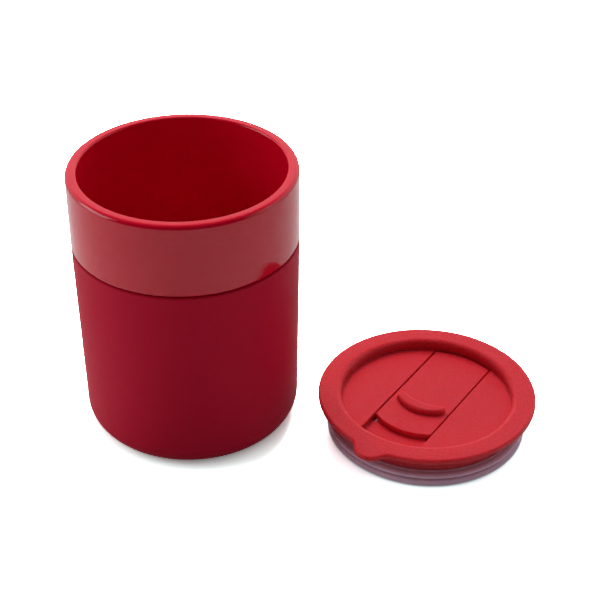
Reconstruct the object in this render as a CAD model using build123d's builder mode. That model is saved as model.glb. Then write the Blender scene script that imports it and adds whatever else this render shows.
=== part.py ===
from build123d import *
from math import cos, radians, sin
import os

# Ceramic travel cup in a silicone sleeve, with its slide lid lying beside it. Millimetres, +Z up.
# The origin is the centre of the sleeve's base, on the table.

# Cup
cup_height = 108.0
band_radius = 42.4
band_bottom = 79.2
band_round = 1.1
mouth_radius = 38.2
mouth_depth = 14.0
rim_outer_round = 1.6
rim_inner_round = 0.8
inner_base_radius = 34.0
inner_floor = 7.6
inner_corner = 11.0
foot_hollow_radius = 27.0
foot_hollow_depth = 1.4
foot_slope = 1.0
cup_to_sleeve = 0.25

# Sleeve
sleeve_top = 78.6
sleeve_top_radius = 42.4
sleeve_base_radius = 41.3
sleeve_corner = 9.5
sleeve_wall = 1.9
sleeve_floor = 1.8
sleeve_lip_round = 0.6

# Lid, measured up from the table it lies on
lid_x = 91.65
lid_y = -12.8
channel_direction = 237.0
lid_height = 15.8
flange_radius = 42.1
flange_thickness = 1.8
flange_top_round = 1.1
flange_bottom_round = 0.3
recess_radius = 33.0
recess_depth = 4.0
recess_edge_round = 2.2
panel_thickness = 2.2
plug_radius = 36.2
plug_wall = 2.8
groove_bottom = 1.6
groove_depth = 1.2
groove_top = 6.75
tab_tip = 47.2
tab_radius = 6.4
tab_blend = 5.0
tab_skew = -1.1
tab_root_start = 38.0

# Slider and the channel that it runs in
channel_half_width = 12.6
channel_wall = 1.8
slider_half_width = 11.9
slider_thickness = 2.2
slider_clearance = 0.05
slider_near_radius = 21.8
slider_end_gap = 0.7
slider_travel = 11.0
leg_start = -2.4
leg_length = 11.0
leg_thickness = 1.0
leg_hook = 0.8
slot_width = 1.9
slot_end_gap = 0.6
hook_gap = 0.1
hook_depth = 0.9
sip_length = 14.0
sip_width = 6.4
sip_centre = -27.2
edge_round = 0.25
grip_near = 9.8
grip_end = 5.2
grip_half_length = 10.3
grip_end_width = 4.0
grip_middle_width = 5.4
grip_height = 2.1
grip_round = 1.3
grip_corner = 1.6

# Sealing ring
ring_face = plug_radius + 0.2
ring_lip = plug_radius + 0.4
lip_edge = 0.75
lip_root = 1.2
fin_radius = 38.4
fin_edge_slant = 0.1
upper_fin_tip = 4.15
upper_fin_edge = 0.75
upper_fin_root = 3.2
lower_fin_tip = 0.9
lower_fin_rise = 1.65
lower_fin_slant = 0.3
lower_fin_undercut = 0.6
lower_fin_bottom = 0.3
fin_round = 0.15

# Half the width of the bands in which corners are picked by height
margin = 0.01

os.makedirs("parts", exist_ok=True)


# Ceramic cup: a revolved wall with a thick rounded rim, a ledge above the sleeve and a hollow foot.
body_top_radius = sleeve_top_radius - sleeve_wall - cup_to_sleeve
body_base_radius = sleeve_base_radius - sleeve_wall - cup_to_sleeve
body_corner = sleeve_corner - sleeve_floor

with BuildPart() as ceramic_cup:
    with BuildSketch(Plane.XZ) as cup_section:
        with BuildLine() as cup_outline:
            Polyline(
                (0, sleeve_floor + foot_hollow_depth),
                (foot_hollow_radius, sleeve_floor + foot_hollow_depth),
                (foot_hollow_radius + foot_slope, sleeve_floor),
                (body_base_radius, sleeve_floor),
                (body_top_radius, band_bottom),
                (band_radius, band_bottom),
                (band_radius, cup_height),
                (mouth_radius, cup_height),
                (mouth_radius, cup_height - mouth_depth),
                (inner_base_radius, inner_floor),
                (0, inner_floor),
                close=True,
            )
        make_face()
        corners = cup_section.vertices()
        rim = corners.group_by(Axis.Y)[-1]
        ledge = corners.filter_by_position(Axis.Y, band_bottom - margin, band_bottom + margin)
        inner_edge = corners.filter_by_position(Axis.Y, inner_floor - margin, inner_floor + margin)
        foot_edge = corners.group_by(Axis.Y)[0]
        fillet(rim.sort_by(Axis.X)[-1], radius=rim_outer_round)
        fillet(rim.sort_by(Axis.X)[0], radius=rim_inner_round)
        fillet(ledge.sort_by(Axis.X)[-1], radius=band_round)
        fillet(inner_edge.sort_by(Axis.X)[-1], radius=inner_corner)
        fillet(foot_edge.sort_by(Axis.X)[-1], radius=body_corner)
    revolve(axis=Axis.Z)
ceramic_cup.part.label = "ceramic_cup"
export_step(ceramic_cup.part, "parts/ceramic_cup.step")


# Silicone sleeve: an open cup with a slight taper, a rounded base corner and a soft top lip.
with BuildPart() as silicone_sleeve:
    with BuildSketch(Plane.XZ) as sleeve_section:
        with BuildLine() as sleeve_outline:
            Polyline(
                (0, 0),
                (sleeve_base_radius, 0),
                (sleeve_top_radius, sleeve_top),
                (sleeve_top_radius - sleeve_wall, sleeve_top),
                (sleeve_base_radius - sleeve_wall, sleeve_floor),
                (0, sleeve_floor),
                close=True,
            )
        make_face()
        corners = sleeve_section.vertices()
        lip = corners.group_by(Axis.Y)[-1]
        base_edge = corners.group_by(Axis.Y)[0].sort_by(Axis.X)[-1]
        floor_edge = corners.filter_by_position(Axis.Y, sleeve_floor - margin, sleeve_floor + margin)
        fillet(lip, radius=sleeve_lip_round)
        fillet(base_edge, radius=sleeve_corner)
        fillet(floor_edge.sort_by(Axis.X)[-1], radius=body_corner)
    revolve(axis=Axis.Z)
silicone_sleeve.part.label = "silicone_sleeve"
export_step(silicone_sleeve.part, "parts/silicone_sleeve.step")


# Lid planes: local X runs along the slider's channel, from the lid's centre towards the pull tab.
lid_turn = radians(channel_direction)
lid_table = Plane(
    origin=(lid_x, lid_y, 0),
    x_dir=(cos(lid_turn), sin(lid_turn), 0),
    z_dir=(0, 0, 1),
)
lid_axis = Axis((lid_x, lid_y, 0), (0, 0, 1))
lid_section_plane = Plane(
    origin=(lid_x, lid_y, 0),
    x_dir=(cos(lid_turn), sin(lid_turn), 0),
    z_dir=(sin(lid_turn), -cos(lid_turn), 0),
)
flange_bottom = lid_height - flange_thickness
recess_floor = lid_height - recess_depth
channel_floor = recess_floor - slider_thickness - slider_clearance
channel_underside = channel_floor - panel_thickness
panel_underside = recess_floor - panel_thickness
groove_radius = plug_radius - groove_depth
across_lid = 4 * flange_radius


# Lid body: a flange with a pull tab, a round recess, a plug wall with the ring's groove,
# and a straight channel across the recess with a sip hole and two leg slots.
with BuildPart() as lid_body:
    with BuildSketch(lid_table.offset(flange_bottom)) as flange_outline:
        Circle(flange_radius)
        with PolarLocations(tab_tip - tab_radius, 1, start_angle=tab_skew):
            Circle(tab_radius)
        tab_roots = flange_outline.vertices().filter_by_position(Axis.X, tab_root_start, tab_tip)
        fillet(tab_roots, radius=tab_blend)
    extrude(amount=flange_thickness)
    flange_faces = lid_body.faces().sort_by(Axis.Z)
    fillet(flange_faces[-1].edges(), radius=flange_top_round)
    fillet(flange_faces[0].edges(), radius=flange_bottom_round)
    with BuildSketch(lid_table) as plug_outline:
        Circle(plug_radius)
    extrude(amount=flange_bottom)
    with BuildSketch(lid_table) as underside_outline:
        Circle(plug_radius - plug_wall)
    extrude(amount=panel_underside, mode=Mode.SUBTRACT)
    with BuildSketch(lid_table.offset(recess_floor)) as recess_outline:
        Circle(recess_radius)
    extrude(amount=recess_depth, mode=Mode.SUBTRACT)
    inner_circles = lid_body.edges(Select.LAST).filter_by(GeomType.CIRCLE)
    fillet(inner_circles.sort_by(Axis.Z)[-1], radius=recess_edge_round)
    with BuildSketch(lid_table.offset(channel_underside)) as channel_box:
        Circle(plug_radius - plug_wall / 2)
        Rectangle(
            across_lid,
            2 * (channel_half_width + channel_wall),
            mode=Mode.INTERSECT,
        )
    extrude(amount=panel_underside - channel_underside)
    with BuildSketch(lid_table.offset(channel_floor)) as channel:
        Circle(recess_radius)
        Rectangle(across_lid, 2 * channel_half_width, mode=Mode.INTERSECT)
    extrude(amount=recess_floor - channel_floor, mode=Mode.SUBTRACT)
    with BuildSketch(lid_table.offset(groove_bottom)) as ring_groove:
        Circle(plug_radius + groove_depth)
        Circle(groove_radius, mode=Mode.SUBTRACT)
    extrude(amount=groove_top - groove_bottom, mode=Mode.SUBTRACT)
    with BuildSketch(lid_table.offset(channel_underside)) as floor_openings:
        with Locations((sip_centre, 0)):
            SlotOverall(sip_length, sip_width, rotation=90)
        slot_length = leg_length + slider_travel + 2 * slot_end_gap
        slot_middle = leg_start - slot_end_gap + slot_length / 2
        slot_offset = channel_half_width - slot_width / 2
        with Locations((slot_middle, slot_offset), (slot_middle, -slot_offset)):
            Rectangle(slot_length, slot_width)
    extrude(amount=panel_thickness, mode=Mode.SUBTRACT)
lid_body.part.label = "lid_body"
export_step(lid_body.part, "parts/lid_body.step")


# Sealing ring: a flat band in the groove with a top lip and two fins that flare outwards.
with BuildPart() as lid_gasket:
    with BuildSketch(lid_section_plane) as gasket_section:
        with BuildLine() as gasket_outline:
            Polyline(
                (groove_radius, groove_bottom),
                (groove_radius, groove_top),
                (ring_lip, groove_top),
                (ring_lip, groove_top - lip_edge),
                (ring_face, groove_top - lip_root),
                (fin_radius - fin_edge_slant, upper_fin_tip + upper_fin_edge),
                (fin_radius, upper_fin_tip),
                (ring_face, upper_fin_root),
                (fin_radius - lower_fin_slant, lower_fin_tip + lower_fin_rise),
                (fin_radius, lower_fin_tip),
                (fin_radius - lower_fin_undercut, lower_fin_bottom),
                (plug_radius, lower_fin_tip),
                (plug_radius, groove_bottom),
                close=True,
            )
        make_face()
        fin_corners = gasket_section.vertices().filter_by_position(Axis.X, ring_lip, fin_radius)
        fillet(fin_corners, radius=fin_round)
    revolve(axis=lid_axis)
lid_gasket.part.label = "lid_gasket"
export_step(lid_gasket.part, "parts/lid_gasket.step")


# Slider: a flat plate with both ends on arcs, a crescent thumb grip and two snap legs that
# hook inwards under the channel floor.
slider_bottom = recess_floor - slider_thickness
slider_far_radius = recess_radius - slider_end_gap
leg_middle = leg_start + leg_length / 2
leg_offset = slider_half_width - leg_thickness / 2
hook_offset = slider_half_width - (leg_thickness + leg_hook) / 2
hook_top = channel_underside - hook_gap
hook_bottom = hook_top - hook_depth

with BuildPart() as lid_slider:
    with BuildSketch(lid_table.offset(slider_bottom)) as plate_outline:
        Circle(slider_far_radius)
        with Locations((flange_radius, 0)):
            Rectangle(2 * flange_radius, 2 * flange_radius, mode=Mode.SUBTRACT)
        Circle(slider_near_radius)
        Rectangle(across_lid, 2 * slider_half_width, mode=Mode.INTERSECT)
    extrude(amount=slider_thickness)
    fillet(lid_slider.faces().sort_by(Axis.Z)[-1].edges(), radius=edge_round)
    with BuildSketch(lid_table.offset(recess_floor)) as grip_outline:
        with BuildLine() as grip_line:
            near_arc = ThreePointArc(
                (grip_end, -grip_half_length),
                (grip_near, 0),
                (grip_end, grip_half_length),
            )
            far_arc = ThreePointArc(
                (grip_end - grip_end_width, -grip_half_length),
                (grip_near - grip_middle_width, 0),
                (grip_end - grip_end_width, grip_half_length),
            )
            Line(near_arc @ 0, far_arc @ 0)
            Line(near_arc @ 1, far_arc @ 1)
        make_face()
        fillet(grip_outline.vertices(), radius=grip_corner)
    extrude(amount=grip_height)
    fillet(lid_slider.faces().sort_by(Axis.Z)[-1].edges(), radius=grip_round)
    with BuildSketch(lid_table.offset(slider_bottom)) as leg_outlines:
        with Locations((leg_middle, leg_offset), (leg_middle, -leg_offset)):
            Rectangle(leg_length, leg_thickness)
    extrude(amount=hook_bottom - slider_bottom)
    with BuildSketch(lid_table.offset(hook_bottom)) as hook_outlines:
        with Locations((leg_middle, hook_offset), (leg_middle, -hook_offset)):
            Rectangle(leg_length, leg_thickness + leg_hook)
    extrude(amount=hook_top - hook_bottom)
lid_slider.part.label = "lid_slider"
export_step(lid_slider.part, "parts/lid_slider.step")
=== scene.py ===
import bmesh
import bpy
import math
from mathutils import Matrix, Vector


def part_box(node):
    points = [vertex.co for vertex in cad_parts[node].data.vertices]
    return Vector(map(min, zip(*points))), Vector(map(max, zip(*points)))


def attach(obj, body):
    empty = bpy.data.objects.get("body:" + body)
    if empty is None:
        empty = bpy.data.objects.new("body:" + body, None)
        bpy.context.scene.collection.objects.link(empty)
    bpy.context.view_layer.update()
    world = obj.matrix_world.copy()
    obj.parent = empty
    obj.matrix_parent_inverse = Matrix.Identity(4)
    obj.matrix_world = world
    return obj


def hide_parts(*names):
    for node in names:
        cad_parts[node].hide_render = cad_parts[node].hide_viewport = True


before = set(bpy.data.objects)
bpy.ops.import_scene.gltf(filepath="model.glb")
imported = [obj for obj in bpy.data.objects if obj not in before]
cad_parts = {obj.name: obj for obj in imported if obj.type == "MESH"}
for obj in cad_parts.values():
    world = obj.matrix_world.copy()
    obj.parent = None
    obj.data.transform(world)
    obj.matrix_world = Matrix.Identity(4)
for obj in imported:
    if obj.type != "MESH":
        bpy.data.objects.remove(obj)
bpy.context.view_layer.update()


# Silicone sleeve. A soft cup of matte red silicone rubber, moulded in one piece with a closed
# bottom. It is stretched over the lower body of the cup and stands on the table.
sleeve_low, sleeve_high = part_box("silicone_sleeve")
sleeve_wall = 0.0019
sleeve_floor = 0.0018
sleeve_corner = 0.0095
sleeve_lip = 0.0006
sleeve_taper = 0.0011
sleeve_top_radius = (sleeve_high.x - sleeve_low.x) / 2
sleeve_foot_radius = sleeve_top_radius - sleeve_taper


def rounded(corners, arc_steps=10):
    """An outline in (radius, height) with each corner (radius, height, rounding) turned into an arc."""
    points = []
    for index, (radius, height, bend) in enumerate(corners):
        corner = Vector((radius, height))
        if bend == 0:
            points.append(corner)
            continue
        before = Vector(corners[index - 1][:2])
        after = Vector(corners[(index + 1) % len(corners)][:2])
        way_in = (before - corner).normalized()
        way_out = (after - corner).normalized()
        half_angle = way_in.angle(way_out) / 2
        reach = bend / math.tan(half_angle)
        middle = corner + (way_in + way_out).normalized() * bend / math.sin(half_angle)
        start = corner + way_in * reach - middle
        end = corner + way_out * reach - middle
        sweep = start.angle_signed(end)
        for step in range(arc_steps + 1):
            turn = -sweep * step / arc_steps
            points.append(middle + Vector((
                start.x * math.cos(turn) - start.y * math.sin(turn),
                start.x * math.sin(turn) + start.y * math.cos(turn),
            )))
    return points


def turned(name, outline, centre=(0, 0), closed=False, facets=240):
    """A body of revolution about the upright axis through centre, from a (radius, height) outline."""
    shape = bmesh.new()
    rings = []
    for radius, height in outline:
        if radius < 1e-6:
            rings.append([shape.verts.new((centre[0], centre[1], height))] * facets)
            continue
        rings.append([
            shape.verts.new((
                centre[0] + radius * math.cos(2 * math.pi * facet / facets),
                centre[1] + radius * math.sin(2 * math.pi * facet / facets),
                height,
            ))
            for facet in range(facets)
        ])
    pairs = list(zip(rings, rings[1:]))
    if closed:
        pairs.append((rings[-1], rings[0]))
    for lower, upper in pairs:
        for facet in range(facets):
            beside = (facet + 1) % facets
            loop = [lower[facet], lower[beside], upper[beside], upper[facet]]
            shape.faces.new(list(dict.fromkeys(loop)))
    bmesh.ops.recalc_face_normals(shape, faces=shape.faces)
    mesh = bpy.data.meshes.new(name)
    shape.to_mesh(mesh)
    shape.free()
    for face in mesh.polygons:
        face.use_smooth = True
    piece = bpy.data.objects.new(name, mesh)
    bpy.context.scene.collection.objects.link(piece)
    return piece


def place(tree, kind, links=None, **settings):
    """A shader node with its settings, and its inputs set to values or joined to other sockets."""
    made = tree.nodes.new(kind)
    for key, value in settings.items():
        setattr(made, key, value)
    for socket, value in (links or {}).items():
        if isinstance(value, bpy.types.NodeSocket):
            tree.links.new(value, made.inputs[socket])
        else:
            made.inputs[socket].default_value = value
    return made


def shader_group(name, inputs, outputs):
    """An empty node group with number sockets, ready for its nodes."""
    group = bpy.data.node_groups.new(name, "ShaderNodeTree")
    for label, value in inputs.items():
        socket = group.interface.new_socket(label, in_out="INPUT", socket_type="NodeSocketFloat")
        socket.default_value = value
    for label in outputs:
        group.interface.new_socket(label, in_out="OUTPUT", socket_type="NodeSocketFloat")
    return group, group.nodes.new("NodeGroupInput"), group.nodes.new("NodeGroupOutput")


# Mould grain: the spark-eroded skin that silicone and plastic take from the mould.
mould_grain, grain_in, grain_out = shader_group(
    "Mould grain",
    {"Grains per metre": 2600, "Unevenness": 0.5, "Contrast": 2.0},
    ["Height", "Mottle"])
grain_space = place(mould_grain, "ShaderNodeTexCoord")
fine_pits = place(mould_grain, "ShaderNodeTexNoise", {
    "Vector": grain_space.outputs["Object"],
    "Scale": grain_in.outputs["Grains per metre"],
    "Detail": 3.0,
    "Roughness": 0.65,
})
coarse_scale = place(mould_grain, "ShaderNodeMath", {
    0: grain_in.outputs["Grains per metre"], 1: 0.32}, operation="MULTIPLY")
coarse_pits = place(mould_grain, "ShaderNodeTexVoronoi", {
    "Vector": grain_space.outputs["Object"],
    "Scale": coarse_scale.outputs[0],
}, feature="SMOOTH_F1")
pit_mix = place(mould_grain, "ShaderNodeMix", {
    "Factor": grain_in.outputs["Unevenness"],
    "A": fine_pits.outputs["Fac"],
    "B": coarse_pits.outputs["Distance"],
}, data_type="FLOAT")
mould_grain.links.new(pit_mix.outputs["Result"], grain_out.inputs["Height"])
even_pits = place(mould_grain, "ShaderNodeMath", {
    0: fine_pits.outputs["Fac"], 1: 0.5}, operation="SUBTRACT")
pit_shade = place(mould_grain, "ShaderNodeMath", {
    0: even_pits.outputs[0], 1: grain_in.outputs["Contrast"], 2: 0.5}, operation="MULTIPLY_ADD")
pit_shade.use_clamp = True
mould_grain.links.new(pit_shade.outputs[0], grain_out.inputs["Mottle"])

# Handling: broad cloudy patches where a surface has been touched and wiped.
handling, handling_in, handling_out = shader_group(
    "Handling", {"Patches per metre": 60, "Contrast": 0.5}, ["Mask"])
handling_space = place(handling, "ShaderNodeTexCoord")
clouds = place(handling, "ShaderNodeTexNoise", {
    "Vector": handling_space.outputs["Object"],
    "Scale": handling_in.outputs["Patches per metre"],
    "Detail": 5.0,
    "Roughness": 0.6,
    "Distortion": 0.8,
})
centred = place(handling, "ShaderNodeMath", {0: clouds.outputs["Fac"], 1: 0.5}, operation="SUBTRACT")
stretched = place(handling, "ShaderNodeMath", {
    0: centred.outputs[0], 1: handling_in.outputs["Contrast"], 2: 0.5}, operation="MULTIPLY_ADD")
stretched.use_clamp = True
handling.links.new(stretched.outputs[0], handling_out.inputs["Mask"])


def material(name):
    """A material with a Principled shader on its output; returns it, its tree and the shader."""
    made = bpy.data.materials.new(name)
    made.use_nodes = True
    return made, made.node_tree, made.node_tree.nodes["Principled BSDF"]


def group_node(tree, group, **values):
    """One of the shared groups, placed in a material with its own values."""
    made = place(tree, "ShaderNodeGroup")
    made.node_tree = group
    for label, value in values.items():
        made.inputs[label.replace("_", " ")].default_value = value
    return made


def two_tone(tree, mask, low, high):
    """A colour that runs from low to high along a mask."""
    made = place(tree, "ShaderNodeMix", {"A": (*low, 1), "B": (*high, 1)}, data_type="RGBA")
    tree.links.new(mask, made.inputs["Factor"])
    return made.outputs["Result"]


def spread(tree, value, low, high):
    """A value from 0 to 1 mapped to run from low to high."""
    made = place(tree, "ShaderNodeMapRange", {"Value": value, "To Min": low, "To Max": high})
    return made.outputs["Result"]


def bumped(tree, shader, height, depth, edge=None):
    """Joins a height to the shader's normal as a bump of a given depth, with softened edges if asked."""
    made = place(tree, "ShaderNodeBump", {"Height": height, "Distance": depth})
    if edge is not None:
        softened = place(tree, "ShaderNodeBevel", {"Radius": edge}, samples=6)
        tree.links.new(softened.outputs["Normal"], made.inputs["Normal"])
    tree.links.new(made.outputs["Normal"], shader.inputs["Normal"])


sleeve = turned("sleeve", rounded([
    (0, 0, 0),
    (sleeve_foot_radius, 0, sleeve_corner),
    (sleeve_top_radius, sleeve_high.z, sleeve_lip),
    (sleeve_top_radius - sleeve_wall, sleeve_high.z, sleeve_lip),
    (sleeve_foot_radius - sleeve_wall, sleeve_floor, sleeve_corner - sleeve_floor),
    (0, sleeve_floor, 0),
]))

silicone, silicone_tree, silicone_shader = material("sleeve silicone")
silicone_grain = group_node(
    silicone_tree, mould_grain, Grains_per_metre=3200, Unevenness=0.25, Contrast=2.4)
silicone_touch = group_node(silicone_tree, handling, Patches_per_metre=45, Contrast=0.9)
silicone_shader.inputs["Specular IOR Level"].default_value = 0.08
silicone_shader.inputs["Sheen Weight"].default_value = 0.06
silicone_shader.inputs["Sheen Roughness"].default_value = 0.35
silicone_shader.inputs["Sheen Tint"].default_value = (1.0, 0.65, 0.70, 1)
silicone_tree.links.new(
    two_tone(
        silicone_tree, silicone_grain.outputs["Mottle"],
        (0.475, 0.0024, 0.0265), (0.575, 0.0092, 0.0390)),
    silicone_shader.inputs["Base Color"])
silicone_tree.links.new(
    spread(silicone_tree, silicone_touch.outputs["Mask"], 0.52, 0.62),
    silicone_shader.inputs["Roughness"])
bumped(silicone_tree, silicone_shader, silicone_grain.outputs["Height"], 0.00002)
sleeve.data.materials.append(silicone)
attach(sleeve, "sleeve")
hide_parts("silicone_sleeve")


# Ceramic cup. Thick stoneware, slip cast and turned, dipped in a glossy red glaze. The band under
# the rim is bare; below its ledge a narrower body sits in the sleeve. The foot ring is unglazed.
cup_low, cup_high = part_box("ceramic_cup")
band_radius = (cup_high.x - cup_low.x) / 2
seam_height = 0.0006
band_bottom = sleeve_high.z + seam_height
mouth_radius = 0.0382
mouth_depth = 0.0140
rim_outer_round = 0.0016
rim_inner_round = 0.0008
ledge_round = 0.0011
ledge_root_round = 0.0003
sleeve_gap = 0.00025
body_top_radius = sleeve_top_radius - sleeve_wall - sleeve_gap
body_foot_radius = sleeve_foot_radius - sleeve_wall - sleeve_gap
inside_foot_radius = 0.0340
inside_floor = 0.0076
inside_corner = 0.0110
mouth_blend = 0.0400
foot_ring_inner = 0.0280
foot_slope = 0.0010
foot_round = 0.0004
foot_hollow = cup_low.z + 0.0014

cup = turned("cup", rounded([
    (0, foot_hollow, 0),
    (foot_ring_inner - foot_slope, foot_hollow, foot_round),
    (foot_ring_inner, cup_low.z, foot_round),
    (body_foot_radius, cup_low.z, sleeve_corner - sleeve_floor),
    (body_top_radius, band_bottom, ledge_root_round),
    (band_radius, band_bottom, ledge_round),
    (band_radius, cup_high.z, rim_outer_round),
    (mouth_radius, cup_high.z, rim_inner_round),
    (mouth_radius, cup_high.z - mouth_depth, mouth_blend),
    (inside_foot_radius, inside_floor, inside_corner),
    (0, inside_floor, 0),
], arc_steps=14), facets=320)

glaze, glaze_tree, glaze_shader = material("red glaze")
glaze_touch = group_node(glaze_tree, handling, Patches_per_metre=70, Contrast=1.2)
glaze_shader.inputs["IOR"].default_value = 1.52
cup_space = place(glaze_tree, "ShaderNodeTexCoord").outputs["Object"]
above_foot = place(glaze_tree, "ShaderNodeSeparateXYZ", {"Vector": cup_space}).outputs["Z"]
bare_clay_height = 0.0005
glaze_start_height = 0.0016
glazed = place(glaze_tree, "ShaderNodeMapRange", {
    "Value": above_foot,
    "From Min": cup_low.z + bare_clay_height,
    "From Max": cup_low.z + glaze_start_height,
}).outputs["Result"]
glaze_red = two_tone(
    glaze_tree, glaze_touch.outputs["Mask"], (0.590, 0.0008, 0.0180), (0.650, 0.0018, 0.0240))
clay_speck = place(glaze_tree, "ShaderNodeTexNoise", {
    "Vector": cup_space, "Scale": 1800.0, "Detail": 3.0}).outputs["Fac"]
clay = two_tone(glaze_tree, clay_speck, (0.42, 0.34, 0.27), (0.62, 0.54, 0.45))
cup_colour = place(glaze_tree, "ShaderNodeMix", {"Factor": glazed}, data_type="RGBA")
glaze_tree.links.new(clay, cup_colour.inputs["A"])
glaze_tree.links.new(glaze_red, cup_colour.inputs["B"])
glaze_tree.links.new(cup_colour.outputs["Result"], glaze_shader.inputs["Base Color"])
glaze_gloss = spread(glaze_tree, glaze_touch.outputs["Mask"], 0.05, 0.10)
cup_roughness = place(glaze_tree, "ShaderNodeMix", {
    "Factor": glazed, "A": 0.8, "B": glaze_gloss}, data_type="FLOAT")
glaze_tree.links.new(cup_roughness.outputs["Result"], glaze_shader.inputs["Roughness"])
glaze_flow = place(glaze_tree, "ShaderNodeTexNoise", {"Vector": cup_space, "Scale": 90.0, "Detail": 2.0})
bumped(glaze_tree, glaze_shader, glaze_flow.outputs["Fac"], 0.00010)
cup.data.materials.append(glaze)
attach(cup, "cup")
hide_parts("ceramic_cup")


# Lid body. One injection moulding in red plastic with a fine spark-eroded grain: flange with a
# pull tab, round recess, slider channel and the plug wall that goes into the cup.
lid_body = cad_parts["lid_body"]

lid_plastic, lid_tree, lid_shader = material("grained lid plastic")
lid_grain = group_node(lid_tree, mould_grain, Grains_per_metre=2300, Unevenness=0.30, Contrast=2.1)
lid_touch = group_node(lid_tree, handling, Patches_per_metre=80, Contrast=0.9)
lid_shader.inputs["Specular IOR Level"].default_value = 0.4
lid_shader.inputs["Subsurface Weight"].default_value = 0.80
lid_shader.inputs["Subsurface Radius"].default_value = (1.0, 0.12, 0.10)
lid_shader.inputs["Subsurface Scale"].default_value = 0.0022
lid_tree.links.new(
    two_tone(lid_tree, lid_grain.outputs["Mottle"], (0.480, 0.002, 0.012), (0.720, 0.040, 0.058)),
    lid_shader.inputs["Base Color"])
lid_tree.links.new(
    spread(lid_tree, lid_touch.outputs["Mask"], 0.42, 0.54), lid_shader.inputs["Roughness"])
bumped(lid_tree, lid_shader, lid_grain.outputs["Height"], 0.00016, edge=0.0005)
lid_body.data.materials[0] = lid_plastic


# Sealing ring. Translucent unpigmented silicone with a top lip and two fins, stretched into the
# groove of the plug wall. Its colour is painted: palest at the thin edges of the fins, which fold up
# inside the cup, and dark red towards the plug face, a painted show-through of the red plug behind.
ring_low, ring_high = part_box("lid_gasket")
lid_centre = ((ring_low.x + ring_high.x) / 2, (ring_low.y + ring_high.y) / 2)
fin_radius = (ring_high.x - ring_low.x) / 2
plug_radius = 0.0362
groove_radius = 0.0350
groove_bottom = 0.0016
ring_face = plug_radius + 0.0002
ring_lip = plug_radius + 0.0004
lip_edge = 0.00075
lip_root = 0.0012
upper_fin = 0.00415
upper_fin_edge = 0.00075
upper_fin_root = 0.0032
fin_edge_slant = 0.0001
lower_fin = 0.0009
lower_fin_rise = 0.00165
lower_fin_slant = 0.0003
lower_fin_undercut = 0.0006
tip_round = 0.00018
root_round = 0.00020
fold_round = 0.00030

ring = turned("sealing_ring", rounded([
    (groove_radius, groove_bottom, 0.0001),
    (groove_radius, ring_high.z, 0.0001),
    (ring_lip, ring_high.z, tip_round),
    (ring_lip, ring_high.z - lip_edge, 0.00012),
    (ring_face, ring_high.z - lip_root, root_round),
    (fin_radius - fin_edge_slant, upper_fin + upper_fin_edge, fold_round),
    (fin_radius, upper_fin, tip_round),
    (ring_face, upper_fin_root, 0.00015),
    (fin_radius - lower_fin_slant, lower_fin + lower_fin_rise, fold_round),
    (fin_radius, lower_fin, root_round),
    (fin_radius - lower_fin_undercut, lower_fin - lower_fin_undercut, root_round),
    (plug_radius, lower_fin, 0.0001),
    (plug_radius, groove_bottom, 0.00002),
], arc_steps=5), centre=lid_centre, closed=True, facets=300)

clear_silicone, clear_tree, clear_shader = material("translucent silicone")
clear_touch = group_node(clear_tree, handling, Patches_per_metre=120, Contrast=1.0)
clear_grain = group_node(clear_tree, mould_grain, Grains_per_metre=4000, Unevenness=0.2)
clear_shader.inputs["IOR"].default_value = 1.41
clear_shader.inputs["Transmission Weight"].default_value = 0.15
clear_space = place(clear_tree, "ShaderNodeTexCoord").outputs["Object"]
clear_place = place(clear_tree, "ShaderNodeVectorMath", {
    0: clear_space, 1: (1, 1, 0)}, operation="MULTIPLY")
clear_reach = place(clear_tree, "ShaderNodeVectorMath", {
    0: clear_place.outputs["Vector"], 1: (*lid_centre, 0)}, operation="DISTANCE")
# Painted show-through: the base colour runs from dark red at the plug face to pale mauve at the fin
# edges, standing in for the red plug seen through the silicone.
painted_show_through = place(clear_tree, "ShaderNodeMapRange", {
    "Value": clear_reach.outputs["Value"], "From Min": ring_face + 0.0001, "From Max": fin_radius})
clear_tree.links.new(
    two_tone(clear_tree, painted_show_through.outputs["Result"], (0.52, 0.16, 0.21), (1.0, 0.66, 0.85)),
    clear_shader.inputs["Base Color"])
clear_tree.links.new(
    spread(clear_tree, clear_touch.outputs["Mask"], 0.30, 0.42), clear_shader.inputs["Roughness"])
bumped(clear_tree, clear_shader, clear_grain.outputs["Height"], 0.00002)
ring.data.materials.append(clear_silicone)
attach(ring, "lid")
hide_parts("lid_gasket")


# Slider. A flat plate moulded in the lid's plastic, with a crescent ridge for the thumb. Its two
# legs snap through the slots in the channel floor.
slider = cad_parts["lid_slider"]
slider.data.materials[0] = lid_plastic


# Table, light and camera. A plain white table under a broad softbox above and behind, with a panel
# on each side, a weak fill in front and a pale low wall behind, seen from the front and above.
floor_mesh = bpy.data.meshes.new("table")
table_reach = 6.0
floor_mesh.from_pydata(
    [(-table_reach, -table_reach, 0), (table_reach, -table_reach, 0),
     (table_reach, table_reach, 0), (-table_reach, table_reach, 0)], [], [(0, 1, 2, 3)])
table = bpy.data.objects.new("table", floor_mesh)
table_drop = 0.0001
table.location.z = -table_drop
bpy.context.scene.collection.objects.link(table)
table_paint, table_tree, table_shader = material("white table")
table_tree.nodes.remove(table_shader)
table_seen = place(table_tree, "ShaderNodeLightPath").outputs["Is Camera Ray"]
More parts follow.
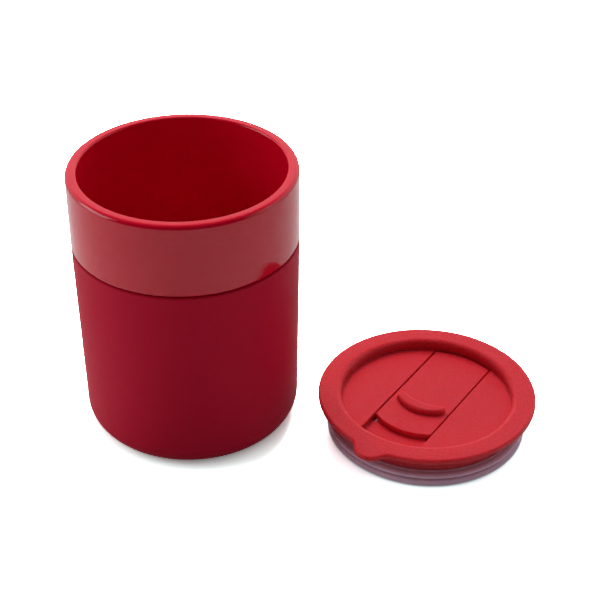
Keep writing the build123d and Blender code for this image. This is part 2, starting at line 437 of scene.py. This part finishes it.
# Painted contact shadow: for camera rays the table's colour is darkened by ambient occlusion near the
# pieces, and tinted cyan to cancel the red light they bounce onto it.
painted_contact_shadow = place(
    table_tree, "ShaderNodeAmbientOcclusion", {"Distance": 0.008}, samples=8).outputs["AO"]
seen_white_with_painted_shadow = two_tone(table_tree, painted_contact_shadow, (0.85, 1.10, 1.08), (5.0, 6.5, 6.4))
table_colour = place(table_tree, "ShaderNodeMix", {
    "Factor": table_seen, "A": (0.68, 0.68, 0.68, 1), "B": seen_white_with_painted_shadow}, data_type="RGBA")
table_white = place(table_tree, "ShaderNodeBsdfDiffuse", {"Color": table_colour.outputs["Result"]})
table_lift = place(table_tree, "ShaderNodeEmission", {
    "Strength": spread(table_tree, table_seen, 0.0, 0.15)})
table_sum = place(table_tree, "ShaderNodeAddShader", {
    0: table_white.outputs["BSDF"], 1: table_lift.outputs["Emission"]})
table_tree.links.new(
    table_sum.outputs["Shader"], table_tree.nodes["Material Output"].inputs["Surface"])
table.data.materials.append(table_paint)

studio = bpy.data.worlds.new("studio")
studio.use_nodes = True
studio_tree = studio.node_tree
studio_light = studio_tree.nodes["Background"]
studio_seen = place(studio_tree, "ShaderNodeLightPath").outputs["Is Camera Ray"]
studio_side = place(studio_tree, "ShaderNodeSeparateXYZ", {
    "Vector": place(studio_tree, "ShaderNodeTexCoord").outputs["Generated"]})
studio_back = place(studio_tree, "ShaderNodeMapRange", {
    "Value": studio_side.outputs["Y"],
    "From Min": -0.30,
    "From Max": 0.05,
    "To Min": 0.02,
    "To Max": 1.00,
}, interpolation_type="SMOOTHSTEP")
studio_low = place(studio_tree, "ShaderNodeMapRange", {
    "Value": studio_side.outputs["Z"],
    "From Min": 0.45,
    "From Max": 0.80,
    "To Min": 0.80,
    "To Max": 0.12,
}, interpolation_type="SMOOTHSTEP")
studio_wall = place(studio_tree, "ShaderNodeMath", {
    0: studio_back.outputs["Result"], 1: studio_low.outputs["Result"]}, operation="MULTIPLY")
studio_pale = place(studio_tree, "ShaderNodeMix", {
    "Factor": studio_seen, "A": studio_wall.outputs[0], "B": 1.0}, data_type="FLOAT")
studio_light.inputs["Color"].default_value = (1, 1, 1, 1)
studio_tree.links.new(studio_pale.outputs["Result"], studio_light.inputs["Strength"])
bpy.context.scene.world = studio


def softbox(name, size, power, place_at, aim_at, mirrored=True):
    """A square area light that points at a place; one that isn't mirrored leaves no highlight."""
    data = bpy.data.lights.new(name, "AREA")
    data.size = size
    data.energy = power
    lamp = bpy.data.objects.new(name, data)
    lamp.location = place_at
    lamp.rotation_euler = (Vector(aim_at) - Vector(place_at)).to_track_quat("-Z", "Y").to_euler()
    lamp.visible_glossy = mirrored
    bpy.context.scene.collection.objects.link(lamp)


softbox("overhead softbox", 0.7, 11.5, (0.00, 0.66, 0.80), (0.04, 0.0, 0.05), mirrored=False)
softbox("left panel", 0.6, 2.6, (-0.85, -0.05, 0.40), (0.0, 0.0, 0.06))
softbox("right panel", 0.5, 0.35, (0.95, -0.20, 0.40), (0.0, 0.0, 0.05))
softbox("front fill", 0.8, 1.5, (0.10, -0.76, 0.85), (0.04, 0.0, 0.03), mirrored=False)

camera_data = bpy.data.cameras.new("camera")
camera_data.lens = 90
camera_data.sensor_width = 36
camera = bpy.data.objects.new("camera", camera_data)
camera.location = (0.04245, -0.4749, 0.3715)
camera.rotation_euler = (math.radians(90 - 34.12), 0, 0)
bpy.context.scene.collection.objects.link(camera)
bpy.context.scene.camera = camera
bpy.context.scene.view_settings.view_transform = "Standard"
